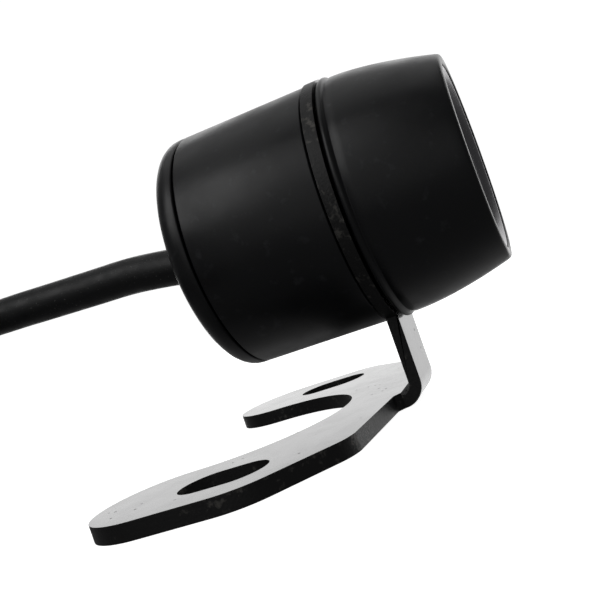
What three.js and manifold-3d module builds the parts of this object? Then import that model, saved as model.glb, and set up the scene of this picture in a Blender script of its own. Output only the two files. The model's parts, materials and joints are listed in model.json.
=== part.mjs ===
// A small wired backup camera. Its round barrel is clamped through the ring of a stamped steel bracket,
// whose neck bends back into a flat two-winged base with a screw slot in each wing. The lens looks
// along -Y, the cable leaves the back along +Y, and the base stands on z = 0. Millimetres, +Z up.
import * as THREE from "three";
import { mergeVertices } from "three/addons/utils/BufferGeometryUtils.js";
import Module from "manifold-3d";

const wasm = await Module();
wasm.setup();

// Driving dimensions
const AXIS_HEIGHT = 19.75; // optical axis above the base's underside
const SEAM = 0.15; // parting line between two clamped or glued parts
const GAP = 0.3; // clearance kept between parts that touch
const LENGTH_FRONT = 11.2; // from the ring's front face to the front rim
const TIP_SETBACK = 26.6; // from the ring's front face back to the wing tips

// Bracket
const SHEET = 1.15; // the ring and the neck, pressed thinner than the base
const BASE_THICKNESS = 1.5;
const RING_RADIUS = 11.95;
const RING_HOLE_RADIUS = 9.5;
const NECK_WIDTH = 7.4;
const BEND_RADIUS = 1; // inside the bend
const WING_GAP_RADIUS = 12.2; // the round end of the gap between the wings
const WING_GAP_SETBACK = 20.4;
const WING_SIDE = 25.2; // from the middle of the bracket to the outside of a wing
const WING_TIP_RADIUS = 6.4;
const SLOT = { x: 18.9, y: 14.7, length: 8, width: 5.6 };

// Front barrel and window
const BEAD_RADIUS = 11.92;
const BARREL_RADIUS = 11.72;
const FRONT_RADIUS = 9.95;
const TAPER_POWER = 1.6; // the barrel's side curves in as this power of the distance
const POCKET_RADIUS = 8.95;
const POCKET_FLOOR = -8.3;

// Rear housing
const HOUSING_RADIUS = 11.78;
const HOUSING_FRONT = SHEET + SEAM;
const HOUSING_REAR = 14.15;
const CAVITY_RADIUS = 10.6;
const NECK_TUBE_RADIUS = 9.2;
const CAP_REAR = 16.6;
const CAP_EDGE_RADIUS = 1.8;
const GLAND_END = 18.9;
const BOARD_RADIUS = 10.1;
const BOARD_SCREW_OFFSET = 8.9;

// Cable, its coil and its connector
const CABLE_RADIUS = 1.9;
const COIL_CENTRE = { x: -14, y: 78 };
const COIL_LIFT = 0.8; // the coil rests on the tie that passes under it
const COIL_INNER = 14;
const COIL_OUTER = COIL_INNER + 6 * CABLE_RADIUS;
const CONNECTOR_X = COIL_CENTRE.x - COIL_OUTER + CABLE_RADIUS;
const CONNECTOR_RADIUS = 4.4;
const CONNECTOR_START = 53;

// Finishes
const finish = (color, roughness, metalness = 0) => ({ color, roughness, metalness });
const blackPaint = finish(0x17181a, 0.28);
const blackPlastic = finish(0x1b1c1e, 0.5);
const blackRubber = finish(0x141414, 0.75);
const jacket = finish(0x202124, 0.42);
const clearGlass = finish(0x5a6670, 0.05);
const lensGlass = finish(0x39304c, 0.05);
const anodised = finish(0x222326, 0.35, 0.8);
const boardGreen = finish(0x1f5a38, 0.5);
const brassPlate = finish(0xc9a45a, 0.3, 1);
const steel = finish(0xb4b6b8, 0.3, 1);

// Turns a closed geometry's faces outwards, whichever way its outline was drawn.
function outward(geometry) {
  geometry.deleteAttribute("normal");
  geometry.deleteAttribute("uv");
  const merged = mergeVertices(geometry, 1e-3);
  const at = merged.getAttribute("position");
  const index = merged.getIndex().array;
  const corners = [new THREE.Vector3(), new THREE.Vector3(), new THREE.Vector3()];
  const kept = [];
  let volume = 0;
  for (let i = 0; i < index.length; i += 3) {
    const [a, b, c] = [index[i], index[i + 1], index[i + 2]];
    if (a === b || b === c || a === c) continue;
    corners.forEach((corner, k) => corner.fromBufferAttribute(at, index[i + k]));
    volume += corners[0].dot(corners[1].clone().cross(corners[2]));
    kept.push(a, b, c);
  }
  merged.setIndex(volume < 0 ? kept.reverse() : kept);
  merged.computeVertexNormals();
  return merged;
}

// A solid of revolution about the optical axis, from [radius, y] points.
function turned(profile, segments = 40) {
  const points = profile.map(([radius, y]) => new THREE.Vector2(radius, y));
  if (profile[0][0] > 0) points.push(points[0].clone());
  return outward(new THREE.LatheGeometry(points, segments));
}

// An O-ring: a round cord of rubber bent into a circle about the optical axis.
function oRing(radius, cordRadius, y) {
  const section = [];
  for (let i = 0; i < 8; i += 1) {
    const angle = (i / 8) * 2 * Math.PI;
    section.push([radius + cordRadius * Math.cos(angle), y + cordRadius * Math.sin(angle)]);
  }
  return turned(section, 32);
}

// A flat plate drawn in (x, z) as seen from the lens side, filling y from front to back.
function upright(shape, front, back) {
  const geometry = new THREE.ExtrudeGeometry(shape, {
    depth: back - front,
    bevelEnabled: false,
    curveSegments: 24,
  });
  geometry.rotateX(Math.PI / 2);
  geometry.translate(0, back, 0);
  return outward(geometry);
}

function block(width, depth, height, x, y, z) {
  const geometry = new THREE.BoxGeometry(width, depth, height);
  geometry.translate(x, y, z);
  return outward(geometry);
}

// A tube along hand-chosen points.
function tube(points, radius, steps, sides = 8) {
  const section = new THREE.Shape();
  for (let i = 0; i < sides; i += 1) {
    const angle = ((i + 0.5) / sides) * 2 * Math.PI;
    const [x, y] = [radius * Math.cos(angle), radius * Math.sin(angle)];
    if (i === 0) section.moveTo(x, y);
    else section.lineTo(x, y);
  }
  const path = new THREE.CatmullRomCurve3(points.map((point) => new THREE.Vector3(...point)));
  const geometry = new THREE.ExtrudeGeometry(section, {
    steps,
    extrudePath: path,
    bevelEnabled: false,
  });
  return outward(geometry);
}

function toManifold(geometry) {
  return new wasm.Manifold(
    new wasm.Mesh({
      numProp: 3,
      vertProperties: new Float32Array(geometry.getAttribute("position").array),
      triVerts: new Uint32Array(geometry.getIndex().array),
    }),
  );
}

function fromManifold(solid) {
  const { vertProperties, triVerts } = solid.getMesh();
  const geometry = new THREE.BufferGeometry();
  geometry.setAttribute("position", new THREE.BufferAttribute(new Float32Array(vertProperties), 3));
  geometry.setIndex(Array.from(triVerts));
  return outward(geometry);
}

function joined(...geometries) {
  return fromManifold(geometries.map(toManifold).reduce((all, next) => all.add(next)));
}

function cut(geometry, ...tools) {
  const solids = tools.map(toManifold);
  return fromManifold(solids.reduce((rest, tool) => rest.subtract(tool), toManifold(geometry)));
}

// Points along an arc, angles in degrees, both ends included.
function arc(cx, cy, radius, from, to, steps) {
  const points = [];
  for (let i = 0; i <= steps; i += 1) {
    const angle = THREE.MathUtils.degToRad(from + ((to - from) * i) / steps);
    points.push([cx + radius * Math.cos(angle), cy + radius * Math.sin(angle)]);
  }
  return points;
}

// Rounds the corner at b between a and c.
function rounded(a, b, c, radius, steps) {
  const [back, ahead] = [a, c].map((end) => new THREE.Vector2(...end).sub(new THREE.Vector2(...b)));
  back.normalize();
  ahead.normalize();
  const half = Math.acos(back.dot(ahead)) / 2;
  const centre = back.clone().add(ahead).normalize().multiplyScalar(radius / Math.sin(half));
  centre.add(new THREE.Vector2(...b));
  const reach = radius / Math.tan(half);
  const start = new THREE.Vector2(...b).addScaledVector(back, reach).sub(centre);
  const end = new THREE.Vector2(...b).addScaledVector(ahead, reach).sub(centre);
  let sweep = end.angle() - start.angle();
  if (sweep > Math.PI) sweep -= 2 * Math.PI;
  if (sweep < -Math.PI) sweep += 2 * Math.PI;
  const from = THREE.MathUtils.radToDeg(start.angle());
  return arc(centre.x, centre.y, radius, from, from + THREE.MathUtils.radToDeg(sweep), steps);
}

function shapeOf(points) {
  return new THREE.Shape(points.map(([x, y]) => new THREE.Vector2(x, y)));
}

function slotHole(centreX) {
  const radius = SLOT.width / 2;
  const run = SLOT.length / 2 - radius;
  const hole = new THREE.Path();
  hole.absarc(centreX, SLOT.y + run, radius, 0, Math.PI, false);
  hole.absarc(centreX, SLOT.y - run, radius, Math.PI, 2 * Math.PI, false);
  hole.closePath();
  return hole;
}

// The base in plan: the right half from the neck round the wing to the gap, then its mirror image.
function basePlate() {
  const bendEnd = SHEET + BEND_RADIUS;
  const corners = {
    neck: [NECK_WIDTH / 2, bendEnd],
    front: [NECK_WIDTH / 2 + 0.7, bendEnd + 0.6],
    shoulder: [17.8, 3.9],
    side: [WING_SIDE, 11.2],
    tipOutside: [WING_SIDE, TIP_SETBACK],
    tipInside: [WING_GAP_RADIUS, TIP_SETBACK],
    gapStart: [WING_GAP_RADIUS, WING_GAP_SETBACK],
  };
  const right = [
    corners.neck,
    ...rounded(corners.neck, corners.front, corners.shoulder, 0.5, 2),
    ...rounded(corners.front, corners.shoulder, corners.side, 4.5, 5),
    ...rounded(corners.shoulder, corners.side, corners.tipOutside, 6, 5),
    ...rounded(corners.side, corners.tipOutside, corners.tipInside, WING_TIP_RADIUS, 7),
    ...rounded(corners.tipOutside, corners.tipInside, corners.gapStart, WING_TIP_RADIUS, 7),
    ...arc(0, WING_GAP_SETBACK, WING_GAP_RADIUS, 0, -84, 12),
  ];
  const left = right.map(([x, y]) => [-x, y]).reverse();
  const plan = shapeOf([...right, [0, WING_GAP_SETBACK - WING_GAP_RADIUS], ...left]);
  plan.holes.push(slotHole(SLOT.x), slotHole(-SLOT.x));
  const geometry = new THREE.ExtrudeGeometry(plan, {
    depth: BASE_THICKNESS,
    bevelEnabled: false,
    curveSegments: 8,
  });
  return outward(geometry);
}

// The neck from the ring down to the base, seen from the side in (y, z). Its bend runs into the base.
function bentNeck() {
  const outer = SHEET + BEND_RADIUS;
  const top = AXIS_HEIGHT - RING_RADIUS + 1.5;
  const profile = shapeOf([
    [0, top],
    ...arc(outer, outer, outer, 180, 270, 6),
    [outer + 2.5, 0],
    [outer + 2.5, SHEET],
    ...arc(outer, outer, BEND_RADIUS, 270, 180, 6),
    [SHEET, top],
  ]);
  const geometry = new THREE.ExtrudeGeometry(profile, { depth: NECK_WIDTH, bevelEnabled: false });
  const sideways = new THREE.Matrix4().makeBasis(
    new THREE.Vector3(0, 1, 0),
    new THREE.Vector3(0, 0, 1),
    new THREE.Vector3(1, 0, 0),
  );
  geometry.applyMatrix4(sideways);
  geometry.translate(-NECK_WIDTH / 2, 0, 0);
  return outward(geometry);
}

function bracketRing() {
  const face = new THREE.Shape();
  face.absarc(0, AXIS_HEIGHT, RING_RADIUS, 0, 2 * Math.PI, false);
  const hole = new THREE.Path();
  hole.absarc(0, AXIS_HEIGHT, RING_HOLE_RADIUS, 0, 2 * Math.PI, true);
  face.holes.push(hole);
  return upright(face, 0, SHEET);
}

// The barrel's side, from the bead to the front rim: a curve that gets steeper towards the front.
function barrelSide() {
  const [start, end] = [-1.3, -(LENGTH_FRONT - 0.4)];
  const points = [];
  for (let i = 0; i <= 6; i += 1) {
    const share = i / 6;
    const drop = (BARREL_RADIUS - FRONT_RADIUS) * share ** TAPER_POWER;
    points.push([BARREL_RADIUS - drop, start + (end - start) * share]);
  }
  return points;
}

function frontBezel() {
  return turned([
    [BEAD_RADIUS - 0.2, -SEAM],
    [BEAD_RADIUS, -0.35],
    [BEAD_RADIUS, -0.65],
    [BARREL_RADIUS - 0.1, -1.05],
    ...barrelSide(),
    [FRONT_RADIUS - 0.35, -LENGTH_FRONT],
    [POCKET_RADIUS + 0.15, -LENGTH_FRONT],
    [POCKET_RADIUS, -LENGTH_FRONT + 0.15],
    [POCKET_RADIUS, POCKET_FLOOR],
    [7.7, POCKET_FLOOR],
    [7.7, -7.8],
    [8, -7.5],
    [8, -5],
    [NECK_TUBE_RADIUS + 0.25, -5],
    [NECK_TUBE_RADIUS + 0.25, -SEAM],
  ]);
}

function retainingRing() {
  return turned([
    [8.75, -11.05],
    [8.35, -11.05],
    [7.85, -10.55],
    [7.85, -10.25],
    [8.75, -10.25],
  ]);
}

function frontWindow() {
  return turned([[0, -10.05], [8.7, -10.05], [8.7, -9.25], [0, -9.25]]);
}

function lensLockRing() {
  return turned([[6.15, -4.9], [7.4, -4.9], [7.4, -3.9], [6.15, -3.9]], 32);
}

function rearHousing() {
  const body = turned([
    [7.9, -4],
    [NECK_TUBE_RADIUS, -4],
    [NECK_TUBE_RADIUS, HOUSING_FRONT],
    [HOUSING_RADIUS - 0.2, HOUSING_FRONT],
    [HOUSING_RADIUS, HOUSING_FRONT + 0.2],
    [HOUSING_RADIUS, HOUSING_REAR - 0.2],
    [HOUSING_RADIUS - 0.2, HOUSING_REAR],
    [CAVITY_RADIUS, HOUSING_REAR],
    [CAVITY_RADIUS, 2.6],
    [7.9, 2.6],
  ]);
  return cut(body, ...[-1, 1].map((side) => axialRod(0.95, 1.7, 3, side * BOARD_SCREW_OFFSET, 0)));
}

// A round rod along the optical axis, moved aside to (x, z).
function axialRod(radius, front, back, x, z, segments = 16) {
  const geometry = turned([[0, front], [radius, front], [radius, back], [0, back]], segments);
  geometry.translate(x, 0, z);
  return geometry;
}

function rearCap() {
  const edge = HOUSING_RADIUS - CAP_EDGE_RADIUS;
  return turned([
    [3.4, CAP_REAR],
    ...arc(edge, CAP_REAR - CAP_EDGE_RADIUS, CAP_EDGE_RADIUS, 90, 0, 4),
    [HOUSING_RADIUS, HOUSING_REAR + SEAM],
    [10.3, HOUSING_REAR + SEAM],
    [10.3, 12.8],
    [9.2, 12.8],
    [9.2, 14.75],
    [3.4, 14.75],
  ]);
}

// A rubber spool in the cap's hole, with a short taper outside round the cable.
function cableGland() {
  return turned([
    [2.05, 14.2],
    [4.4, 14.2],
    [4.4, 14.6],
    [3.25, 14.6],
    [3.25, 16.7],
    [3.1, 16.9],
    [2.6, GLAND_END - 0.2],
    [2.4, GLAND_END],
    [2.05, GLAND_END],
  ], 24);
}

function lensBarrel() {
  return turned([
    [6.9, -8.3],
    [6.9, -6.4],
    [6, -6.4],
    [6, 1.4],
    [3.9, 1.4],
    [3.9, 0],
    [3.1, 0],
    [3.1, -5.2],
    [5.4, -5.2],
    [5.4, -8.3],
  ], 32);
}

function frontElement() {
  const dome = arc(0, -1.1, 7.9, -90, -50, 5);
  return turned([...dome, [5.1, -5.9], [2.9, -5.7], [2, -6.2], [0, -6.4]], 28);
}

function middleElement() {
  return turned([[0, -4], [1.6, -3.8], [2.9, -3.2], [2.9, -2.3], [1.6, -1.9], [0, -1.8]], 24);
}

function rearElement() {
  return turned([[0, 0.15], [2, 0.3], [3.6, 0.6], [3.6, 1], [2, 1.25], [0, 1.35]], 24);
}

function lensHolder() {
  return turned([
    [7.3, -3.6],
    [7.3, 4.4],
    [5.6, 4.4],
    [5.6, 2.2],
    [3.4, 2.2],
    [3.4, 1.7],
    [6.15, 1.7],
    [6.15, -3.6],
  ], 32);
}

// A round board with a clearance hole for each of its screws.
function board(front, thickness) {
  const face = new THREE.Shape();
  face.absarc(0, 0, BOARD_RADIUS, 0, 2 * Math.PI, false);
  for (const side of [-1, 1]) {
    const hole = new THREE.Path();
    hole.absarc(side * BOARD_SCREW_OFFSET, 0, 0.85, 0, 2 * Math.PI, true);
    face.holes.push(hole);
  }
  const geometry = new THREE.ExtrudeGeometry(face, {
    depth: thickness,
    bevelEnabled: false,
    curveSegments: 16,
  });
  geometry.rotateX(Math.PI / 2);
  geometry.translate(0, front + thickness, 0);
  return outward(geometry);
}

function boardScrew(side) {
  const geometry = turned([[0, 2], [0.7, 2], [0.7, 5.9], [1.15, 5.9], [1.15, 6.6], [0, 6.6]], 16);
  geometry.translate(side * BOARD_SCREW_OFFSET, 0, 0);
  return geometry;
}

function boardSpacer(side) {
  const geometry = turned([[0.95, 2.9], [1.5, 2.9], [1.5, 4.4], [0.95, 4.4]], 16);
  geometry.translate(side * BOARD_SCREW_OFFSET, 0, 0);
  return geometry;
}

// One of the four cores between the cable's end and the board socket.
function leadWire(x) {
  return tube([[x / 2, 12.1, 0.2], [x / 2, 11.6, -0.5], [x, 11.4, -1.6], [x, 11.4, -2.9]], 0.35, 8, 6);
}

const cableRoute = [
  [0, GLAND_END + GAP, AXIS_HEIGHT],
  [0, 22.6, 20.35],
  [0, 26, 20.8],
  [0, 30, 21.03],
  [0, 36, 21.37],
  [0, 41, 21.65],
  [0.15, 45, 21.72],
  [0.5, 49, 21.05],
  [1.2, 52.8, 19.6],
  [2.3, 56.6, 17.5],
  [3.6, 60.2, 15.45],
  [4.8, 63.3, 13.9],
];

const tailRoute = [
  [CONNECTOR_X, 64.4, COIL_LIFT + CABLE_RADIUS],
  [CONNECTOR_X, 61.2, 3],
  [CONNECTOR_X, 58.2, 3.7],
  [CONNECTOR_X, 55.6, 4.25],
  [CONNECTOR_X, CONNECTOR_START + GAP, CONNECTOR_RADIUS],
];

// The outer shape of seven turns of cable: two full layers and one turn on top.
function cableCoil() {
  const layer = COIL_LIFT + 4 * CABLE_RADIUS;
  const top = layer + 3.1;
  const geometry = turned([
    [COIL_INNER, COIL_LIFT],
    [COIL_OUTER, COIL_LIFT],
    [COIL_OUTER, layer],
    [COIL_OUTER - 1.6, top],
    [COIL_OUTER - 5.6, top],
    [COIL_INNER, layer],
  ], 36);
  geometry.rotateX(Math.PI / 2);
  geometry.translate(COIL_CENTRE.x, COIL_CENTRE.y, 0);
  return outward(geometry);
}

// A loop of strap round the coil's bundle, 4 mm wide, at the coil's side nearest the camera.
function cableTie() {
  const [inside, outside] = [COIL_INNER - GAP, COIL_OUTER + GAP];
  const [low, high] = [COIL_LIFT - 0.25, COIL_LIFT + 4 * CABLE_RADIUS + 3.1 + GAP];
  const wall = 0.5;
  const loop = shapeOf([
    [inside - wall, low - wall],
    [outside + wall, low - wall],
    [outside + wall, high + wall],
    [inside - wall, high + wall],
  ]);
  loop.holes.push(shapeOf([[inside, low], [inside, high], [outside, high], [outside, low]]));
  const geometry = new THREE.ExtrudeGeometry(loop, { depth: 4, bevelEnabled: false });
  geometry.rotateX(Math.PI / 2);
  geometry.translate(0, 2, 0);
  geometry.rotateZ(THREE.MathUtils.degToRad(-110));
  geometry.translate(COIL_CENTRE.x, COIL_CENTRE.y, 0);
  return outward(geometry);
}

// A solid of revolution about the connector's axis, from [radius, distance from its cable end].
function connectorPart(profile, segments = 28) {
  const geometry = turned(profile, segments);
  geometry.rotateZ(Math.PI);
  geometry.translate(CONNECTOR_X, CONNECTOR_START, CONNECTOR_RADIUS);
  return geometry;
}

function connectorRelief() {
  return connectorPart([[0, 0], [2.3, 0], [2.6, 0.6], [3.3, 8], [0, 8]]);
}

function connectorBody() {
  const face = 8 + GAP;
  return connectorPart([
    [0, face],
    [3.7, face],
    [CONNECTOR_RADIUS, face + 0.7],
    [CONNECTOR_RADIUS, face + 12],
    [3.9, face + 12.6],
    [0, face + 12.6],
  ]);
}

function connectorSleeve() {
  const start = 8 + 12.6 + 2 * GAP;
  return connectorPart([
    [0, start],
    [3.5, start],
    [3.5, start + 5.8],
    [2.9, start + 5.8],
    [2.9, start + 0.8],
    [0, start + 0.8],
  ]);
}

function connectorSeal() {
  const section = arc(3.95, 8 + 12.6 + GAP + 0.8, 0.4, 0, 315, 7);
  return connectorPart(section, 24);
}

function connectorPin(x, z) {
  const geometry = connectorPart([[0, 22.3], [0.4, 22.3], [0.4, 26.2], [0, 26.6]], 12);
  geometry.translate(x, 0, z);
  return geometry;
}

const camera = new THREE.Group();
camera.position.y = (LENGTH_FRONT - TIP_SETBACK) / 2;
const barrel = new THREE.Group();
barrel.position.z = AXIS_HEIGHT;
camera.add(barrel);

function place(group, name, geometry, look) {
  const mesh = new THREE.Mesh(geometry, new THREE.MeshStandardMaterial(look));
  mesh.name = name;
  group.add(mesh);
}

place(camera, "mounting_bracket", joined(bracketRing(), bentNeck(), basePlate()), blackPaint);

place(barrel, "front_bezel", frontBezel(), blackPlastic);
place(barrel, "lens_retaining_ring", retainingRing(), anodised);
place(barrel, "cover_glass", frontWindow(), clearGlass);
place(barrel, "window_seal", oRing(8.3, 0.42, -8.75), blackRubber);
place(barrel, "lens_barrel", lensBarrel(), anodised);
place(barrel, "front_lens_element", frontElement(), lensGlass);
place(barrel, "middle_lens_element", middleElement(), lensGlass);
place(barrel, "rear_lens_element", rearElement(), lensGlass);
place(barrel, "lens_lock_ring", lensLockRing(), anodised);
place(barrel, "lens_holder", lensHolder(), blackPlastic);
place(barrel, "ir_filter", block(6.4, 0.4, 6.4, 0, 2.65, 0), lensGlass);
place(barrel, "image_sensor", block(6.4, 1.2, 5.6, 0, 3.8, 0), anodised);
place(barrel, "sensor_board", board(4.7, 1), boardGreen);
for (const [side, hand] of [[-1, "left"], [1, "right"]]) {
  place(barrel, `board_spacer_${hand}`, boardSpacer(side), brassPlate);
  place(barrel, `board_screw_${hand}`, boardScrew(side), steel);
}
place(barrel, "board_header", block(7.6, 2.8, 2.4, 0, 7.4, 6.5), blackPlastic);
place(barrel, "power_board", board(9.1, 1), boardGreen);
place(barrel, "filter_capacitor", axialRod(2, 10.4, 13.2, 4.9, 3.6), steel);
place(barrel, "choke_coil", block(3.6, 1.8, 3.6, -4.9, 11.3, 3.6), anodised);
place(barrel, "cable_socket", block(7.6, 2.6, 3, 0, 11.7, -4.8), finish(0xe8e4d8, 0.5));
for (const [number, x] of [-2.4, -0.8, 0.8, 2.4].entries()) {
  place(barrel, `lead_wire_${number + 1}`, leadWire(x), jacket);
}
place(barrel, "neck_seal", oRing(8.55, 0.4, -4.5), blackRubber);
place(barrel, "rear_housing", rearHousing(), blackPlastic);
place(barrel, "rear_cap", rearCap(), blackPlastic);
place(barrel, "cable_gland", cableGland(), blackRubber);
place(barrel, "cable_end", axialRod(CABLE_RADIUS, 12.6, GLAND_END, 0, 0), jacket);

place(camera, "camera_cable", tube(cableRoute, CABLE_RADIUS, 18), jacket);
place(camera, "cable_coil", cableCoil(), jacket);
place(camera, "cable_tie", cableTie(), blackPlastic);
place(camera, "connector_tail", tube(tailRoute, CABLE_RADIUS, 6), jacket);
place(camera, "connector_relief", connectorRelief(), blackRubber);
place(camera, "connector_body", connectorBody(), blackPlastic);
place(camera, "connector_sleeve", connectorSleeve(), blackPlastic);
place(camera, "connector_seal", connectorSeal(), finish(0xa8432f, 0.6));
for (const [number, [x, z]] of [[-1, -1], [1, -1], [1, 1], [-1, 1]].entries()) {
  place(camera, `connector_pin_${number + 1}`, connectorPin(1.1 * x, 1.1 * z), brassPlate);
}

export default camera;
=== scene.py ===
"""The looks of a wired backup camera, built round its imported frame.

A round black barrel is clamped in the ring of a painted steel bracket, and its cable runs back to a
tied coil and a moulded plug. Lengths in the classes are millimetres; Blender's own are metres.
"""

import json
import logging
import math
from collections.abc import Sequence
from dataclasses import dataclass
from enum import Enum

import bpy
from mathutils import Matrix, Vector


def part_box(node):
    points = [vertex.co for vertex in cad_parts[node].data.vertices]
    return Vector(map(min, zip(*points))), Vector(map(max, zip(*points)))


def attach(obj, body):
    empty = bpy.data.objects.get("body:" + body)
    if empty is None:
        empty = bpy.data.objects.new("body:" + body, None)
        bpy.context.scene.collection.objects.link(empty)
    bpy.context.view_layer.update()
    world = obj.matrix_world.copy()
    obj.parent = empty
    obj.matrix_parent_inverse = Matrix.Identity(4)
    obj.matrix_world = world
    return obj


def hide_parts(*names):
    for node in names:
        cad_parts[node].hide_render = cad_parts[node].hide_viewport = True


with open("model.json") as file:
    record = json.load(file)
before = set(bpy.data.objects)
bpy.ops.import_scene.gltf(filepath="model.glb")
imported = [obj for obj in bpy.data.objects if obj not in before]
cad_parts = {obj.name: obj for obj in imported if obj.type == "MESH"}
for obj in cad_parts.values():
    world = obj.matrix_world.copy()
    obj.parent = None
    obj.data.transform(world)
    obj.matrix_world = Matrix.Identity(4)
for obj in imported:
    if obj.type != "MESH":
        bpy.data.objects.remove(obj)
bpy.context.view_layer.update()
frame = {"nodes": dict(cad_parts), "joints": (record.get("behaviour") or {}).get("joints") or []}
LOG = logging.getLogger("backup_camera")
MM = 0.001
PIVOT = Vector(frame["joints"][0]["pos_m"])  # where the optical axis meets the ring's front face
RING_WAVE = 0.314  # a wave texture at scale 1 repeats every 0.314 m

Point2 = tuple[float, float]
Point3 = tuple[float, float, float]
Inputs = dict[str | int, object]
Piece = bpy.types.Object
Tree = bpy.types.NodeTree
Node = bpy.types.Node
Socket = bpy.types.NodeSocket
Source = Node | Socket


class Body(Enum):
    """The rigid bodies that pieces ride on."""

    BRACKET = "bracket"
    BARREL = "barrel"


def linear(colour: str) -> tuple[float, float, float, float]:
    """Turns an sRGB hex colour into Blender's linear one.

    Args:
        colour: Six hex digits, such as "1a1b1d".

    Returns:
        Red, green, blue and an alpha of 1.
    """
    parts = [int(colour[i : i + 2], 16) / 255 for i in (0, 2, 4)]
    red, green, blue = (p / 12.92 if p <= 0.04045 else ((p + 0.055) / 1.055) ** 2.4 for p in parts)
    return (red, green, blue, 1.0)


def feed(tree: Tree, node: Node, inputs: Inputs) -> None:
    """Sets a node's inputs, and links those whose value is a socket or a node's first output.

    Args:
        tree: The node tree.
        node: The node that is fed.
        inputs: Values, sockets or nodes by input name or number.
    """
    for name, value in inputs.items():
        if isinstance(value, Node):
            value = value.outputs[0]
        if isinstance(value, Socket):
            tree.links.new(value, node.inputs[name])
        else:
            node.inputs[name].default_value = value


def add_node(tree: Tree, kind: str, inputs: Inputs | None = None, **settings: object) -> Node:
    """Adds one node, sets its properties, and sets or links its inputs.

    Args:
        tree: The node tree that gets the node.
        kind: Blender's name for the node type, after "ShaderNode".
        inputs: Values, sockets or nodes by input name or number.
        settings: Properties of the node itself.

    Returns:
        The new node.
    """
    node = tree.nodes.new(f"ShaderNode{kind}")
    for name, value in settings.items():
        setattr(node, name, value)
    feed(tree, node, inputs or {})
    return node


def levels(value: object, low: Point2, high: Point2) -> Inputs:
    """The inputs that map a value between two levels and hold it there.

    Args:
        value: The value to map.
        low: The lower level and what it becomes.
        high: The upper level and what it becomes.

    Returns:
        The inputs of a map range node.
    """
    names = ("Value", "From Min", "From Max", "To Min", "To Max")
    return dict(zip(names, (value, low[0], high[0], low[1], high[1])))


def cloud(
    tree: Tree, place: Socket, size_mm: float, detail: float, *ends: Point2, fade: float = 0.55
) -> Node:
    """A cloudy pattern, mostly near the middle of 0 to 1, mapped to other levels where given.

    Args:
        tree: The material's node tree.
        place: The coordinates it follows.
        size_mm: The usual width of a patch.
        detail: How many finer layers are laid over it.
        ends: A low and a high level of the pattern, each with what it becomes, or nothing.
        fade: How strong each finer layer is beside the one before.

    Returns:
        The pattern's last node.
    """
    scale = 1 / (size_mm * MM)
    shape = {"Vector": place, "Scale": scale, "Detail": detail, "Roughness": fade}
    noise = add_node(tree, "TexNoise", shape)
    return add_node(tree, "MapRange", levels(noise, *ends)) if ends else noise


@dataclass(frozen=True)
class Look:
    """What a finish shows close up: a second colour, an uneven gloss, a relief and fixed inputs."""

    share: Source | None = None
    second: str = "000000"
    gloss: Source | None = None
    height: Source | None = None
    depth_mm: float = 0.0
    strength: float = 1.0
    fixed: tuple[tuple[str, object], ...] = ()


@dataclass(frozen=True)
class Finish:
    """A surface finish: one Principled shader with its pattern of colour, gloss and relief."""

    name: str
    colour: str
    roughness: float
    metallic: float = 0.0
    ior: float = 1.5

    def material(self) -> bpy.types.Material:
        """Makes the material, or gives back the one already made.

        Returns:
            The material.
        """
        found = bpy.data.materials.get(self.name)
        if found:
            return found
        made = bpy.data.materials.new(self.name)
        made.use_nodes = True
        tree = made.node_tree
        tree.nodes.clear()
        plain = {
            "Base Color": linear(self.colour),
            "Roughness": self.roughness,
            "Metallic": self.metallic,
            "IOR": self.ior,
        }
        shader = add_node(tree, "BsdfPrincipled", plain)
        add_node(tree, "OutputMaterial", {"Surface": shader})
        look = self.look(tree, add_node(tree, "TexCoord").outputs["Object"])
        inputs = dict(look.fixed)
        if look.share is not None:
            pair = {"Factor": look.share, 6: linear(self.colour), 7: linear(look.second)}
            inputs["Base Color"] = add_node(tree, "Mix", pair, data_type="RGBA").outputs[2]
        if look.gloss is not None:
            inputs["Roughness"] = look.gloss
        if look.height is not None:
            depth = look.depth_mm * MM
            step = {"Height": look.height, "Distance": depth, "Strength": look.strength}
            inputs["Normal"] = add_node(tree, "Bump", step)
        feed(tree, shader, inputs)
        return made

    def look(self, tree: Tree, place: Socket) -> Look:
        """What the finish shows close up. A plain finish shows nothing more.

        Args:
            tree: The material's node tree.
            place: Object coordinates, in metres.

        Returns:
            The patterns that drive the shader.
        """
        return Look()

    def dress(self, piece: Piece) -> None:
        """Gives the piece this finish all over."""
        piece.data.materials.clear()
        piece.data.materials.append(self.material())


@dataclass(frozen=True)
class BlackPaint(Finish):
    """Semi-gloss black enamel sprayed on steel: smooth, with slight orange peel and pinholes."""

    peel_mm: float = 0.9
    pinhole_mm: float = 1.1

    def look(self, tree: Tree, place: Socket) -> Look:
        """Orange peel in the relief, pinholes in the colour, and a slightly uneven gloss.

        Args:
            tree: The material's node tree.
            place: Object coordinates, in metres.

        Returns:
            The patterns that drive the shader.
        """
        spacing = {"Vector": place, "Scale": 1 / (self.pinhole_mm * MM), "Randomness": 1.0}
        cells = add_node(tree, "TexVoronoi", spacing)
        hole = add_node(tree, "MapRange", levels(cells, (0.09, 1.0), (0.13, 0.0)))
        thin = cloud(tree, place, 5.0, 3.0, (0.56, 0.0), (0.62, 1.0))
        share = add_node(tree, "Math", {0: hole, 1: thin}, operation="MULTIPLY")
        shiny, matt = self.roughness - 0.015, self.roughness + 0.02
        gloss = cloud(tree, place, 3.0, 5.0, (0.35, shiny), (0.65, matt))
        dull = add_node(tree, "Math", {0: share, 1: 0.6, 2: gloss}, operation="MULTIPLY_ADD")
        peel = cloud(tree, place, self.peel_mm, 1.0)
        pits = add_node(tree, "Math", {0: share, 1: -1.5, 2: peel}, operation="MULTIPLY_ADD")
        return Look(share, "050505", dull, pits, 0.003, 0.4)


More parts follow.
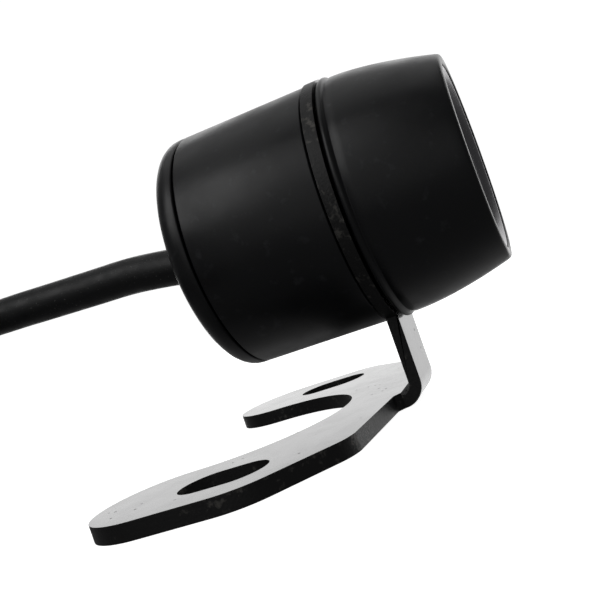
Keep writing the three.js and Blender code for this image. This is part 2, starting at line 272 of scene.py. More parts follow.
@dataclass(frozen=True)
class ChippedEdge(Finish):
    """The punched edge of painted steel: a matt torn face where the paint is thin and chipped."""

    chip_mm: float = 0.7
    bare: str = "6a6864"

    def look(self, tree: Tree, place: Socket) -> Look:
        """Chips down to bare steel, and the ragged drag lines that a punch leaves.

        Args:
            tree: The material's node tree.
            place: Object coordinates, in metres.

        Returns:
            The patterns that drive the shader.
        """
        fine = cloud(tree, place, self.chip_mm, 6.0)
        broad = cloud(tree, place, 7.0, 2.0)
        both = add_node(tree, "Math", {0: broad, 1: 0.6, 2: fine}, operation="MULTIPLY_ADD")
        chips = add_node(tree, "MapRange", levels(both, (0.90, 0.0), (1.02, 0.75)))
        metal = add_node(tree, "MapRange", levels(chips, (0.0, 0.0), (1.0, 0.8)))
        torn = cloud(tree, place, 0.25, 4.0)
        return Look(chips, self.bare, None, torn, 0.05, 0.8, (("Metallic", metal),))


@dataclass(frozen=True)
class MouldedPlastic(Finish):
    """Injection-moulded ABS or nylon: satin, with a fine spark-eroded texture and light scuffs."""

    grain_mm: float = 0.16
    grain_depth_mm: float = 0.006
    scuff: str = "3a3b3e"
    scuffed: float = 0.5

    def look(self, tree: Tree, place: Socket) -> Look:
        """Fine grain in the relief, cloudy gloss, and a few paler rubbed patches.

        Args:
            tree: The material's node tree.
            place: Object coordinates, in metres.

        Returns:
            The patterns that drive the shader.
        """
        shiny, matt = self.roughness - 0.05, self.roughness + 0.06
        gloss = cloud(tree, place, 4.0, 5.0, (0.35, shiny), (0.65, matt))
        rub = cloud(tree, place, 1.2, 8.0, (0.60, 0.0), (0.74, self.scuffed))
        grain = cloud(tree, place, self.grain_mm, 2.0)
        return Look(rub, self.scuff, gloss, grain, self.grain_depth_mm, 0.6)


@dataclass(frozen=True)
class CableJacket(Finish):
    """An extruded PVC jacket: smooth, faintly waxy and dusty, with shallow ripples along it."""

    dust: str = "6b6b69"

    def look(self, tree: Tree, place: Socket) -> Look:
        """Specks of dust, an uneven gloss and ripples about as long as the cable is thick.

        Args:
            tree: The material's node tree.
            place: Object coordinates, in metres.

        Returns:
            The patterns that drive the shader.
        """
        specks = cloud(tree, place, 0.22, 2.0, (0.66, 0.0), (0.74, 0.6))
        shiny, matt = self.roughness - 0.06, self.roughness + 0.08
        gloss = cloud(tree, place, 1.5, 4.0, (0.35, shiny), (0.65, matt))
        return Look(specks, self.dust, gloss, cloud(tree, place, 2.4, 2.0), 0.05, 0.5)


@dataclass(frozen=True)
class Rubber(Finish):
    """Moulded rubber: matt, a little dusty, with a soft uneven skin."""

    bloom: str = "2b2b2a"

    def look(self, tree: Tree, place: Socket) -> Look:
        """A pale bloom in patches and a soft fine relief."""
        bloom = cloud(tree, place, 1.6, 6.0, (0.45, 0.0), (0.7, 1.0))
        return Look(bloom, self.bloom, None, cloud(tree, place, 0.3, 3.0), 0.01, 0.6)


@dataclass(frozen=True)
class TurnedMetal(Finish):
    """Metal cut on a lathe: fine rings about its axis, then anodised, plated or left bare."""

    pitch_mm: float = 0.12
    axis: Point3 = (0.0, 0.0, 0.0)

    def look(self, tree: Tree, place: Socket) -> Look:
        """Rings cut by the tool, and a gloss that changes slightly from ring to ring.

        Args:
            tree: The material's node tree.
            place: Object coordinates, in metres.

        Returns:
            The patterns that drive the shader.
        """
        moved = {"Vector": place, "Location": tuple(-c for c in self.axis)}
        centred = add_node(tree, "Mapping", moved, vector_type="POINT")
        cut = {"Vector": centred, "Scale": RING_WAVE / (self.pitch_mm * MM), "Distortion": 0.3}
        wave = add_node(tree, "TexWave", cut, wave_type="RINGS", rings_direction="Y")
        rings = wave.outputs["Fac"]
        shiny, matt = self.roughness - 0.04, self.roughness + 0.06
        gloss = add_node(tree, "MapRange", levels(rings, (0.0, shiny), (1.0, matt)))
        return Look(gloss=gloss, height=rings, depth_mm=0.004, strength=0.5)


@dataclass(frozen=True)
class Glass(Finish):
    """Polished optical glass with a thin anti-reflection coating."""

    coat: float = 0.0

    def look(self, tree: Tree, place: Socket) -> Look:
        """Lets light through, and leaves a trace of grease on the surface.

        Args:
            tree: The material's node tree.
            place: Object coordinates, in metres.

        Returns:
            The patterns that drive the shader.
        """
        smear = cloud(tree, place, 2.5, 6.0, (0.45, 0.01), (0.75, 0.05))
        clear = (("Transmission Weight", 1.0), ("Coat Weight", self.coat))
        return Look(gloss=smear, fixed=(*clear, ("Coat Tint", linear("a48cff"))))


@dataclass(frozen=True)
class GlowingCard(Finish):
    """Matt white card lit from behind, so that only the faintest shadow shows on it."""

    glow: float = 0.93

    def look(self, tree: Tree, place: Socket) -> Look:
        """The light that comes through the card."""
        light = (("Emission Color", linear("ffffff")), ("Emission Strength", self.glow))
        return Look(fixed=(*light, ("Specular IOR Level", 0.0)))


@dataclass(frozen=True)
class SolderMask(Finish):
    """Solder mask over a glass-epoxy board: a glossy green skin with copper tracks under it."""

    track_mm: float = 1.4

    def look(self, tree: Tree, place: Socket) -> Look:
        """Paler stretches where the tracks run, raised a little.

        Args:
            tree: The material's node tree.
            place: Object coordinates, in metres.

        Returns:
            The patterns that drive the shader.
        """
        spacing = {"Vector": place, "Scale": 1 / (self.track_mm * MM)}
        bricks = add_node(tree, "TexVoronoi", spacing, distance="MANHATTAN")
        tracks = add_node(tree, "MapRange", levels(bricks, (0.35, 0.0), (0.42, 1.0)))
        return Look(tracks, "2f7d4b", None, tracks, 0.03, 0.7)


# Sprayed enamel flows smooth: near-black from above, a pale mirror of the room at a low angle.
BRACKET_PAINT = BlackPaint("black_enamel_sprayed_steel", "131416", 0.19)
# A punched edge tears the steel, so the thin paint on it is matt and chips to grey specks.
BRACKET_EDGE = ChippedEdge("black_enamel_punched_edge", "0c0c0c", 0.5)
# ABS from a fine spark-eroded mould: deep black with broad soft highlights.
BARREL_ABS = MouldedPlastic("abs_moulded_satin_black", "101113", 0.36)
# Filled nylon, unpolished mould: duller than the barrel.
HOLDER_NYLON = MouldedPlastic("nylon_moulded_black", "0d0d0e", 0.5)
# Natural nylon: warm ivory, slightly waxy.
SOCKET_NYLON = MouldedPlastic("nylon_moulded_ivory", "e2ddcf", 0.45, scuff="cfc9b8")
# A strap of soft nylon: black with a coarse satin grain.
TIE_NYLON = MouldedPlastic("nylon_strap_black", "141414", 0.42, grain_mm=0.3)
# PVC moulded over the plug: softer and duller than ABS, with rubbed ribs.
PLUG_PVC = MouldedPlastic("pvc_overmoulded_black", "121213", 0.46, grain_mm=0.22)
# PVC drawn through a die: one long faint highlight, with dust caught on it.
JACKET_PVC = CableJacket("pvc_extruded_black", "121314", 0.46)
# Nitrile rubber: matt, with a greyish bloom.
SEAL_RUBBER = Rubber("nitrile_rubber_black", "0e0e0e", 0.6)
# Silicone rubber: brick red and soft-looking, the plug's only colour.
PLUG_SEAL = Rubber("silicone_rubber_red", "8f2f22", 0.5, bloom="a6503f")
# Aluminium turned and anodised black: dark metal with fine rings that catch the light.
ANODISED = TurnedMetal("aluminium_turned_black_anodised", "2a2b2e", 0.32, 0.85, axis=tuple(PIVOT))
# The same, anodised grey: the pale ring seen inside the front rim.
GREY_ANODISED = TurnedMetal(
    "aluminium_turned_grey_anodised", "8c8b8d", 0.3, 0.9, axis=tuple(PIVOT)
)
# Brass with a gold flash: bright yellow contacts.
PLATED_BRASS = TurnedMetal("brass_turned_gold_plated", "d9b464", 0.22, metallic=1.0)
# Zinc-plated steel: cool bright grey.
ZINC_STEEL = TurnedMetal("steel_turned_zinc_plated", "b9bbbd", 0.28, 1.0, axis=tuple(PIVOT))
# Epoxy package: charcoal, finely moulded.
PACKAGE = MouldedPlastic("epoxy_moulded_package", "17181a", 0.4)
# Solder mask on glass-epoxy: glossy green over paler tracks.
BOARD = SolderMask("glass_epoxy_green_mask", "14512d", 0.3)
# Polished soda glass: clear, with a trace of grease that softens its reflections.
WINDOW_GLASS = Glass("soda_glass_polished", "eef3f2", 0.02, ior=1.5)
# Coated optical glass: a violet tint in its reflections.
LENS_GLASS = Glass("optical_glass_coated", "dcd6ea", 0.02, ior=1.62, coat=0.6)


# Modelling by hand: each function leaves one object, in object mode, selected and active.


def select_only(piece: Piece) -> None:
    """Selects one object alone and makes it the active one.

    Args:
        piece: The object.
    """
    bpy.ops.object.select_all(action="DESELECT")
    piece.select_set(True)
    bpy.context.view_layer.objects.active = piece


def edit(piece: Piece) -> None:
    """Selects one object alone and opens it in edit mode."""
    select_only(piece)
    bpy.ops.object.mode_set(mode="EDIT")


def face_outwards() -> None:
    """Selects the whole mesh in edit mode and turns its faces outwards."""
    bpy.ops.mesh.select_all(action="SELECT")
    bpy.ops.mesh.normals_make_consistent(inside=False)


def extrude(push: Vector) -> None:
    """Extrudes what is selected in edit mode, by a push in metres."""
    bpy.ops.mesh.extrude_region_move(TRANSFORM_OT_translate={"value": push})


def apply_modifier(piece: Piece, kind: str, **settings: object) -> None:
    """Gives the active piece a modifier and applies it.

    Args:
        piece: The piece, in object mode.
        kind: Blender's name for the modifier type.
        settings: Properties of the modifier.
    """
    modifier = piece.modifiers.new(kind.lower(), kind)
    for name, value in settings.items():
        setattr(modifier, name, value)
    bpy.ops.object.modifier_apply(modifier=modifier.name)


def settle(name: str) -> Piece:
    """Closes edit mode, names the active object and puts its place into its mesh.

    Args:
        name: The piece's name.

    Returns:
        The piece.
    """
    if bpy.context.mode != "OBJECT":
        bpy.ops.object.mode_set(mode="OBJECT")
    piece = bpy.context.view_layer.objects.active
    piece.name = piece.data.name = name
    bpy.ops.object.transform_apply(location=True, rotation=True, scale=True)
    return piece


def traced(points_mm: Sequence[Point3], closed: bool = True) -> None:
    """Draws a line through points, in edit mode, by extruding one vertex from each to the next.

    Args:
        points_mm: The points, from the row's origin.
        closed: Whether the last point is joined to the first.
    """
    corners = [Vector(point) * MM for point in points_mm]
    if closed:
        corners.append(corners[0])
    bpy.ops.object.select_all(action="DESELECT")
    bpy.ops.mesh.primitive_plane_add(size=MM, location=corners[0])
    bpy.ops.object.mode_set(mode="EDIT")
    bpy.ops.mesh.merge(type="CENTER")
    for here, after in zip(corners, corners[1:]):
        extrude(after - here)
    bpy.ops.mesh.select_all(action="SELECT")
    bpy.ops.mesh.remove_doubles(threshold=0.0005 * MM)


def finish_surface(piece: Piece, edge_mm: float, steps: int = 2, angle: float = 30) -> None:
    """Rounds the sharp edges of the active piece and shades it smooth.

    Args:
        piece: The piece, in object mode.
        edge_mm: The width of the rounding, 0 for none.
        steps: How many faces make up the rounding.
        angle: Edges sharper than this many degrees are rounded.
    """
    select_only(piece)
    if edge_mm:
        apply_modifier(
            piece,
            "BEVEL",
            width=edge_mm * MM,
            segments=steps,
            limit_method="ANGLE",
            angle_limit=math.radians(angle),
            harden_normals=False,
        )
    bpy.ops.object.shade_smooth_by_angle(angle=math.radians(angle + 5))


def spun(
    name: str,
    profile: Sequence[Point2],
    centre: Vector = PIVOT,
    facing: int = 1,
    segments: int = 96,
    edge_mm: float = 0.08,
) -> Piece:
    """Turns a profile about a line along Y, as on a lathe.

    Args:
        name: The piece's name.
        profile: [radius, distance along the line] points. One that starts off the line is closed.
        centre: Where the distances start.
        facing: 1 where distances run towards +Y, -1 where they run towards -Y.
        segments: How many facets make up the round.
        edge_mm: The rounding of its sharp edges.

    Returns:
        The finished piece.
    """
    x, y, z = centre / MM
    points = [(x + radius, y + facing * along, z) for radius, along in profile]
    traced(points, closed=profile[0][0] > 0)
    bpy.ops.mesh.spin(steps=segments, angle=2 * math.pi, center=centre, axis=(0, 1, 0))
    bpy.ops.mesh.select_all(action="SELECT")
    bpy.ops.mesh.remove_doubles(threshold=0.001 * MM)
    face_outwards()
    piece = settle(name)
    finish_surface(piece, edge_mm)
    return piece


def solid_from(name: str, outline: Sequence[Point3], push_mm: Point3) -> Piece:
    """Fills a flat outline and extrudes it into a solid.

    Args:
        name: The object's name.
        outline: The outline's corners.
        push_mm: How far and which way it is extruded.

    Returns:
        The solid.
    """
    traced(outline)
    bpy.ops.mesh.edge_face_add()
    extrude(Vector(push_mm) * MM)
    face_outwards()
    return settle(name)


def combined(piece: Piece, tool: Piece, operation: str) -> None:
    """Joins the tool to the piece, or cuts it out, and removes the tool.

    Args:
        piece: The piece that stays.
        tool: The solid that is joined or cut.
        operation: "UNION" or "DIFFERENCE".
    """
    select_only(piece)
    apply_modifier(piece, "BOOLEAN", operation=operation, object=tool, solver="EXACT")
    bpy.data.objects.remove(tool, do_unlink=True)


def arc(centre: Point2, radius: float, start: float, stop: float, steps: int) -> list[Point2]:
    """Points along an arc, both ends included.

    Args:
        centre: The arc's centre.
        radius: Its radius.
        start: The first angle, in degrees.
        stop: The last angle, in degrees.
        steps: How many equal steps it takes.

    Returns:
        The points.
    """
    angles = [math.radians(start + (stop - start) * i / steps) for i in range(steps + 1)]
    return [(centre[0] + radius * math.cos(a), centre[1] + radius * math.sin(a)) for a in angles]


def rounded(
    before: Point2, corner: Point2, after: Point2, radius: float, steps: int
) -> list[Point2]:
    """Replaces a corner of an outline with an arc that meets both of its sides.

    Args:
        before: The outline's point before the corner.
        corner: The corner.
        after: The outline's point after it.
        radius: The arc's radius.
        steps: How many equal steps it takes.

    Returns:
        The arc's points, in the outline's order.
    """
    tip = Vector(corner)
    back = (Vector(before) - tip).normalized()
    ahead = (Vector(after) - tip).normalized()
    half = back.angle(ahead) / 2
    middle = tip + (back + ahead).normalized() * radius / math.sin(half)
    reach = radius / math.tan(half)
    first = tip + back * reach - middle
    last = tip + ahead * reach - middle
    start = math.degrees(math.atan2(first.y, first.x))
    turn = math.degrees(math.atan2(last.y, last.x)) - start
    turn = (turn + 180) % 360 - 180
    return arc(tuple(middle), radius, start, start + turn, steps)


def declare(piece: Piece, body: Body, slot: str, *nodes: str) -> Piece:
    """Says which body a piece rides on and which CAD nodes it stands for.

    Args:
        piece: The finished piece.
        body: The body it moves with.
        slot: The record's material slot; not used.
        nodes: The CAD nodes that it replaces.

    Returns:
        The piece.
    """
    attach(piece, body.value)
    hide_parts(*nodes)
    LOG.info("%s stands for %s", piece.name, ", ".join(nodes))
    return piece


@dataclass
class Eye:
    """The camera's place, its view direction and its framing."""

    place_mm: Point3 = (-82.82, -23.18, 13.37)
    heading: float = 16.71
    lift: float = 0.03
    roll: float = 19.5
    lens_mm: float = 52.57
    sensor_mm: float = 36
    shift: Point2 = (0.0038, -0.0128)

    def build(self) -> None:
        """Makes the camera and gives it to the scene."""
        data = bpy.data.cameras.new("eye")
        data.lens = self.lens_mm
        data.sensor_width = self.sensor_mm
        data.shift_x, data.shift_y = self.shift
        data.clip_start = 5 * MM
        eye = bpy.data.objects.new("eye", data)
        bpy.context.scene.collection.objects.link(eye)
        heading, lift, roll = (math.radians(a) for a in (self.heading, self.lift, self.roll))
        turned = (
            Matrix.Rotation(heading, 4, "Z")
            @ Matrix.Rotation(-lift, 4, "Y")
            @ Matrix.Rotation(roll, 4, "X")
        )
        along_x = Matrix(((0, 0, -1, 0), (-1, 0, 0, 0), (0, 1, 0, 0), (0, 0, 0, 1)))
        eye.matrix_world = Matrix.Translation(Vector(self.place_mm) * MM) @ turned @ along_x
        bpy.context.scene.camera = eye


@dataclass
class Studio:
    """A pale floor under a white sweep, lit by large soft boxes."""

    floor_mm: float = 9000
    floor_drop: float = 0.02
    floor_colour: str = "f4f4f4"

    def build(self) -> None:
        """Lays the floor, hangs the lights and sets the air round them."""
        bpy.context.scene.view_settings.view_transform = "Standard"
        self.floor()
        self.softbox("key", (-300, 225, 378), (0, 10, 15), (300, 350), 1.4)
        self.softbox("key_front", (-330, -30, 390), (0, -10, 15), (60, 330), 1.4)
        self.softbox("front_fill", (-420, -40, 120), (0, 0, 15), (500, 300), 0.2)
        self.softbox("far_card", (420, 0, 110), (0, 0, 10), (900, 500), 1.2)
        self.softbox("top", (120, 40, 520), (0, 0, 0), (500, 400), 0.35)
        self.air()

    def floor(self) -> None:
        """A flat white sheet, a hair under the base, that throws no light back up."""
        bpy.ops.object.select_all(action="DESELECT")
        middle = (0, 0, -self.floor_drop * MM)
        bpy.ops.mesh.primitive_plane_add(size=self.floor_mm * MM, location=middle)
        floor = settle("floor")
        GlowingCard("card_matt_white", self.floor_colour, 0.9).dress(floor)
        floor.visible_glossy = False
        floor.visible_diffuse = False

    def softbox(self, name: str, place: Point3, aim: Point3, size: Point2, power: float) -> None:
        """Hangs one rectangular soft light.

        Args:
            name: The light's name.
            place: Where it hangs, in millimetres.
            aim: The point it faces, in millimetres.
            size: Its width and height, in millimetres.
            power: Its radiance, about 1 for paper white.
        """
        data = bpy.data.lights.new(name, "AREA")
        data.shape = "RECTANGLE"
        data.size, data.size_y = (side * MM for side in size)
        data.energy = power * math.pi * data.size * data.size_y
        lamp = bpy.data.objects.new(name, data)
        bpy.context.scene.collection.objects.link(lamp)
        away = (Vector(place) - Vector(aim)) * MM
        turned = away.to_track_quat("Z", "Y").to_matrix().to_4x4()
        lamp.matrix_world = Matrix.Translation(Vector(place) * MM) @ turned
        lamp.visible_camera = False

    def air(self) -> None:
        """White for the eye, and a dim fill for everything else."""
        world = bpy.data.worlds.new("studio_air")
        bpy.context.scene.world = world
        world.use_nodes = True
        tree = world.node_tree
        tree.nodes.clear()
        to_eye = add_node(tree, "LightPath").outputs["Is Camera Ray"]
        ahead = add_node(tree, "TexCoord").outputs["Generated"]
        along = add_node(tree, "SeparateXYZ", {0: ahead}).outputs["X"]
        behind = add_node(tree, "MapRange", levels(along, (0.1, 0.0), (0.9, 1.0)))
        fill = {"Factor": behind, 6: (0.09, 0.09, 0.092, 1), 7: (0.3, 0.3, 0.3, 1)}
        dim = add_node(tree, "Mix", fill, data_type="RGBA").outputs[2]
        seen = {"Factor": to_eye, 6: dim, 7: (1.05, 1.05, 1.05, 1)}
        colour = add_node(tree, "Mix", seen, data_type="RGBA").outputs[2]
        light = add_node(tree, "Background", {"Color": colour})
        add_node(tree, "OutputWorld", {"Surface": light})


@dataclass
class Lead:
    """The free cable: its route from the gland, its wound coil and tie, and its plug."""

    radius: float = 1.9
    coil_centre: Point2 = (-14.0, 70.3)
    coil_lift: float = 0.8
    bundle: Point2 = (14.0, 25.4)
    turns_wound: float = 6.5
    points_per_turn: int = 20
    crossing: float = 0.25  # the share of a turn in which it moves over to its next place
    curve_allowance: float = 1.003  # how much longer the curves are than their chords
    plug_radius: float = 4.4
    strap_wall: float = 0.5
    strap_width: float = 3.4
    strap_clearance: float = 0.3
    strap_corner: float = 2.2
    strap_drop: float = 0.25
    strap_turn: float = -110
    strap_head: tuple[Point2, ...] = ((25.5, 5), (26.2, 5), (26.2, 9), (25.5, 9))
    strap_head_width: float = 4
    route: tuple[Point3, ...] = (
        (0, 19.2, 19.75), (0, 22.6, 20.35), (0, 26, 20.8), (0, 30, 21.03), (0, 36, 21.37),
        (0, 41, 21.65), (0.15, 45, 21.72), (0.5, 49, 21.05), (1.2, 52.8, 19.6),
        (2.3, 56.6, 17.5), (3.6, 60.2, 15.45), (4.8, 63.3, 13.9), (6.0, 67.2, 12.2),
        (7.1, 72.4, 10.7),
    )
    tail: tuple[Point3, ...] = (
        (-37.5, 69.5, 2.7), (-37.5, 64.4, 2.7), (-37.5, 61.2, 3.0), (-37.5, 58.2, 3.7),
        (-37.5, 55.6, 4.25), (-37.5, 53.3, 4.4),
    )

    def build(self) -> None:
        cable = self.cable()
        with_it = [self.tie(), *Plug(self).build()]
        declare(cable, Body.BRACKET, "cable_jacket", "camera_cable", "cable_coil", "connector_tail")

    def coil(self) -> list[Vector]:
        """The turns: one on top, three in the middle layer, two and a half on the bottom.

        Each turn moves over to its next place in a quarter of a turn, and starts earlier than the
        turn that takes its place, so that no two cross.

        Returns:
            The coil's points, in millimetres.
        """
        bottom = self.coil_lift + self.radius
        middle = bottom + 2 * self.radius
        top = middle + 1.75 * self.radius
        inner, mean, outer = (self.bundle[0] + (2 * i + 1) * self.radius for i in range(3))
        turns = [
            (mean + self.radius, top, 0.75), (outer, middle, 0.55), (mean, middle, 0.55),
            (inner, middle, 0.35), (inner, bottom, 0.15), (mean, bottom, 0.15),
            (outer, bottom, 0.75),
        ]
        points = []
        steps = self.points_per_turn
        for i in range(int(self.turns_wound * steps)):
            turn, step = divmod(i, steps)
            *here, leave = turns[turn]
            after = turns[min(turn + 1, len(turns) - 1)]
            share = min(1.0, max(0.0, (step / steps - leave) / self.crossing))
            share = share * share * (3 - 2 * share)
            radius, height = (a + (b - a) * share for a, b in zip(here, after))
            angle = 2 * math.pi * step / steps
            x, y = radius * math.cos(angle), radius * math.sin(angle)
            points.append(Vector((self.coil_centre[0] + x, self.coil_centre[1] + y, height)))
        return points

    def line(self) -> list[Vector]:
        """All the cable's points, in millimetres, from the gland to the plug.

        Returns:
            The points, in order.
        """
        ring_y = PIVOT.y / MM
        lead, tail = (
            [Vector((x, y + ring_y, z)) for x, y, z in part] for part in (self.route, self.tail)
        )
        return [*lead, *self.coil(), *tail]

    def cable(self) -> Piece:
        """One smooth curve through the points, with a round section.

        Returns:
            The cable.
        """
        data = bpy.data.curves.new("camera_lead", "CURVE")
        data.dimensions = "3D"
        data.resolution_u = 5
        data.bevel_depth = self.radius * MM
        data.bevel_resolution = 6
        data.use_fill_caps = True
        line = self.line()
        spline = data.splines.new("BEZIER")
        spline.bezier_points.add(len(line) - 1)
        for point, place in zip(spline.bezier_points, line):
            point.co = place * MM
            point.handle_left_type = point.handle_right_type = "AUTO"
        cable = bpy.data.objects.new("camera_lead", data)
        bpy.context.scene.collection.objects.link(cable)
        data.materials.append(JACKET_PVC.material())
        return cable

    def tie(self) -> Piece:
        """A narrow strap drawn round the bundle, with rounded corners and a locking head.

        Returns:
            The strap.
        """
        inside = self.bundle[0] - self.strap_clearance
        outside = self.bundle[1] + self.strap_clearance
        bottom = self.coil_lift - self.strap_drop
        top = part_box("cable_tie")[1].z / MM - self.strap_wall
        corners = [(inside, bottom), (outside, bottom), (outside, top), (inside, top)]
        loop = []
        for i in range(4):
            loop += rounded(corners[i - 1], corners[i], corners[(i + 1) % 4], self.strap_corner, 5)
        traced([(x, self.strap_width / 2, z) for x, z in loop])
        extrude(Vector((0, -self.strap_width * MM, 0)))
        face_outwards()
        strap = settle("lead_strap")
        apply_modifier(strap, "SOLIDIFY", thickness=self.strap_wall * MM, offset=1)
        side = [(x, -self.strap_head_width / 2, z) for x, z in self.strap_head]
        combined(strap, solid_from("head", side, (0, self.strap_head_width, 0)), "UNION")
        turn = Matrix.Rotation(math.radians(self.strap_turn), 4, "Z")
        strap.matrix_world = Matrix.Translation(Vector((*self.coil_centre, 0)) * MM) @ turn
        select_only(strap)
        settle("lead_strap")
        finish_surface(strap, 0.15, 2, 40)
        TIE_NYLON.dress(strap)
        return declare(strap, Body.BRACKET, "tie_plastic", "cable_tie")


@dataclass
class Plug:
    """The moulded plug on the cable's end: ribbed relief, fluted grip, sleeve, seal and pins."""

    lead: Lead
    relief_length: float = 8.0
    grip_length: float = 12.6
    gap: float = 0.3
    flutes: int = 16
    flute_height: float = 0.28
    pin_radius: float = 0.4
    pin_start: float = 22.3
    pin_end: float = 26.2

    @property
    def centre(self) -> Vector:
        """The cable end of the plug, on its axis, in metres."""
        low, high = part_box("connector_relief")
        return Vector(((low.x + high.x) / 2, high.y, (low.z + high.z) / 2))

    def build(self) -> list[Piece]:
        """Makes all its pieces.

        Returns:
            The pieces that go with the cord.
        """
        return [self.relief(), self.grip(), self.sleeve(), self.seal(), *self.pins()]

    def turned(self, name: str, profile: Sequence[Point2], edge_mm: float = 0.08) -> Piece:
        """Turns a profile about the plug's axis, measured from its cable end."""
        return spun(name, profile, self.centre, -1, 64, edge_mm)

    def relief(self) -> Piece:
        """A tapered sleeve with grooves that let it bend.

        Returns:
            The piece.
        """
        profile = [(0.0, 0.0), (2.25, 0.0)]
        for i in range(4):
            start = 1.0 + 1.6 * i
            radius = 2.45 + 0.18 * i
            profile += [(radius, start), (radius - 0.4, start + 0.15)]
            profile += [(radius - 0.4, start + 0.65), (radius + 0.08, start + 0.8)]
        profile += [(3.3, self.relief_length), (0.0, self.relief_length)]
        piece = self.turned("plug_relief", profile)
        PLUG_PVC.dress(piece)
        return declare(piece, Body.BRACKET, "plug_plastic", "connector_relief")

    def grip(self) -> Piece:
        """The moulded body, with shallow flutes for the fingers.

        Returns:
            The piece.
        """
        start, radius = self.relief_length + self.gap, self.lead.plug_radius
        end = start + self.grip_length
        fluted_from, fluted_to = start + 2.5, end - 2.6
        profile = [
            (0.0, start), (3.7, start), (radius, start + 0.7), (radius, start + 2.2),
            (radius - 0.3, fluted_from), (radius - 0.3, fluted_to), (radius, end - 2.3),
            (radius, end - 0.6), (3.9, end), (0.0, end),
        ]
        piece = spun("plug_grip", profile, self.centre, -1, 4 * self.flutes, 0)
        edit(piece)
        bpy.ops.mesh.select_all(action="DESELECT")
        bpy.ops.object.mode_set(mode="OBJECT")
        low, high = (self.centre.y - along * MM for along in (fluted_to, fluted_from))
        for face in piece.data.polygons:
            across = face.center - self.centre
            angle = math.degrees(math.atan2(across.z, across.x)) % (360 / self.flutes)
            inside = low < face.center.y < high
            face.select = inside and angle < 180 / self.flutes
        bpy.ops.object.mode_set(mode="EDIT")
        rise = {"value": self.flute_height * MM}
        bpy.ops.mesh.extrude_region_shrink_fatten(TRANSFORM_OT_shrink_fatten=rise)
        piece = settle("plug_grip")
        finish_surface(piece, 0.09)
        PLUG_PVC.dress(piece)
        return declare(piece, Body.BRACKET, "plug_plastic", "connector_body")

    def sleeve(self) -> Piece:
        """The round sleeve that shields the pins.

        Returns:
            The piece.
        """
        start = self.relief_length + self.grip_length + 2 * self.gap
        profile = [
            (0.0, start), (3.5, start), (3.5, start + 5.8), (2.9, start + 5.8),
            (2.9, start + 0.8), (0.0, start + 0.8),
        ]
        piece = self.turned("plug_sleeve", profile)
        PLUG_PVC.dress(piece)
        return declare(piece, Body.BRACKET, "plug_plastic", "connector_sleeve")

    def seal(self) -> Piece:
        """The O-ring that seals the plug in its socket.

        Returns:
            The piece.
        """
        at = self.relief_length + self.grip_length + self.gap + 0.8
        piece = spun("plug_seal", arc((3.95, at), 0.4, 0, 337.5, 15), self.centre, -1, 64, 0)
        PLUG_SEAL.dress(piece)
        return declare(piece, Body.BRACKET, "plug_seal_rubber", "connector_seal")

    def pins(self) -> list[Piece]:
        """Four round contacts with domed ends.

        Returns:
            The four pins.
        """
        made = []
        for number in range(1, 5):
            node = f"connector_pin_{number}"
            low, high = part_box(node)
            centre = Vector(((low.x + high.x) / 2, self.centre.y, (low.z + high.z) / 2))
            dome = arc((0, self.pin_end), self.pin_radius, 0, 90, 4)
            profile = [(0.0, self.pin_start), (self.pin_radius, self.pin_start), *dome]
            piece = spun(f"plug_pin_{number}", profile, centre, -1, 20, 0)
            PLATED_BRASS.dress(piece)
            made.append(declare(piece, Body.BRACKET, "contact_brass", node))
        return made


